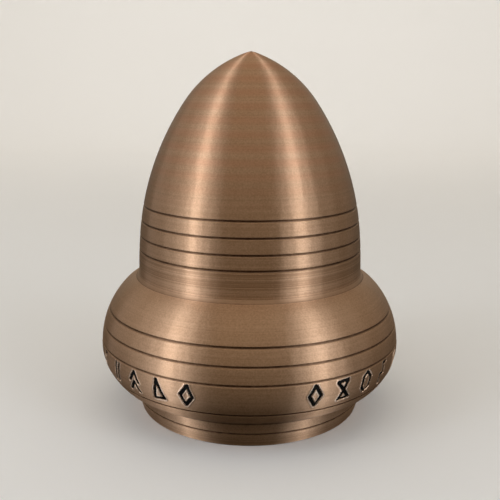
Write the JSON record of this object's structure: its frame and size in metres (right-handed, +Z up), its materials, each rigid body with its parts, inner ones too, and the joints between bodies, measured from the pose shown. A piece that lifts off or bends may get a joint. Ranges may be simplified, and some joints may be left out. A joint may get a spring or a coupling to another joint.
{
  "type": "spinning top",
  "caption": "Turned copper spinning top with a domed hollow nose, a heavy grooved rim with stamped marks, and a crown held in the fingers that turns on a ball bearing.",
  "frame": {"origin": "centre of the crown's resting face, on the surface that the top stands on", "axes": "+Z up along the spin axis to the spin tip; -Y points to the middle of the plain gap in the row of marks, +X to the right of it"},
  "size_m": [0.04, 0.04, 0.0471],
  "materials": {
    "copper_rim": "turned copper, satin",
    "copper_nose": "turned copper, satin",
    "copper_crown": "turned copper, satin",
    "tip_bronze": "ground bronze",
    "black_enamel": "black enamel infill",
    "bright_steel": "turned",
    "bearing_steel": "ground",
    "ball_steel": "polished",
    "shield_steel": "pressed",
    "spring_steel": "phosphated",
    "black_screw": "black oxide",
    "cage_brass": "machined brass",
    "carrier_aluminium": "turned aluminium",
    "seal_rubber": "matte"
  },
  "bodies": {
    "crown_unit": {"crown": "copper_crown", "spindle": "bright_steel", "spindle_shim": "bright_steel", "bearing_inner_race": "bearing_steel", "clamp_washer": "bright_steel", "spindle_screw": "black_screw"},
    "ball_cage": {"bearing_balls": "ball_steel", "bearing_cage": "cage_brass"},
    "rotor": {"bearing_outer_race": "bearing_steel", "bearing_shield_lower": "shield_steel", "bearing_shield_upper": "shield_steel", "bearing_carrier": "carrier_aluminium", "bearing_circlip": "spring_steel", "carrier_screws": "bright_steel", "rim": "copper_rim", "mark_enamel": "black_enamel", "nose_shell": "copper_nose", "nose_seal": "seal_rubber", "spin_tip": "tip_bronze", "tip_set_screw": "black_screw"}
  },
  "joints": [
    {"name": "rotor_spin", "type": "hinge", "parent": "crown_unit", "child": "rotor", "pos_m": [0, 0, 0.00958], "axis": [0, 0, 1], "continuous": true},
    {"name": "cage_spin", "type": "hinge", "parent": "crown_unit", "child": "ball_cage", "pos_m": [0, 0, 0.00958], "axis": [0, 0, 1], "continuous": true}
  ],
  "couplings": [
    {"joint": "cage_spin", "follows": "rotor_spin", "ratio": 0.58336}
  ]
}
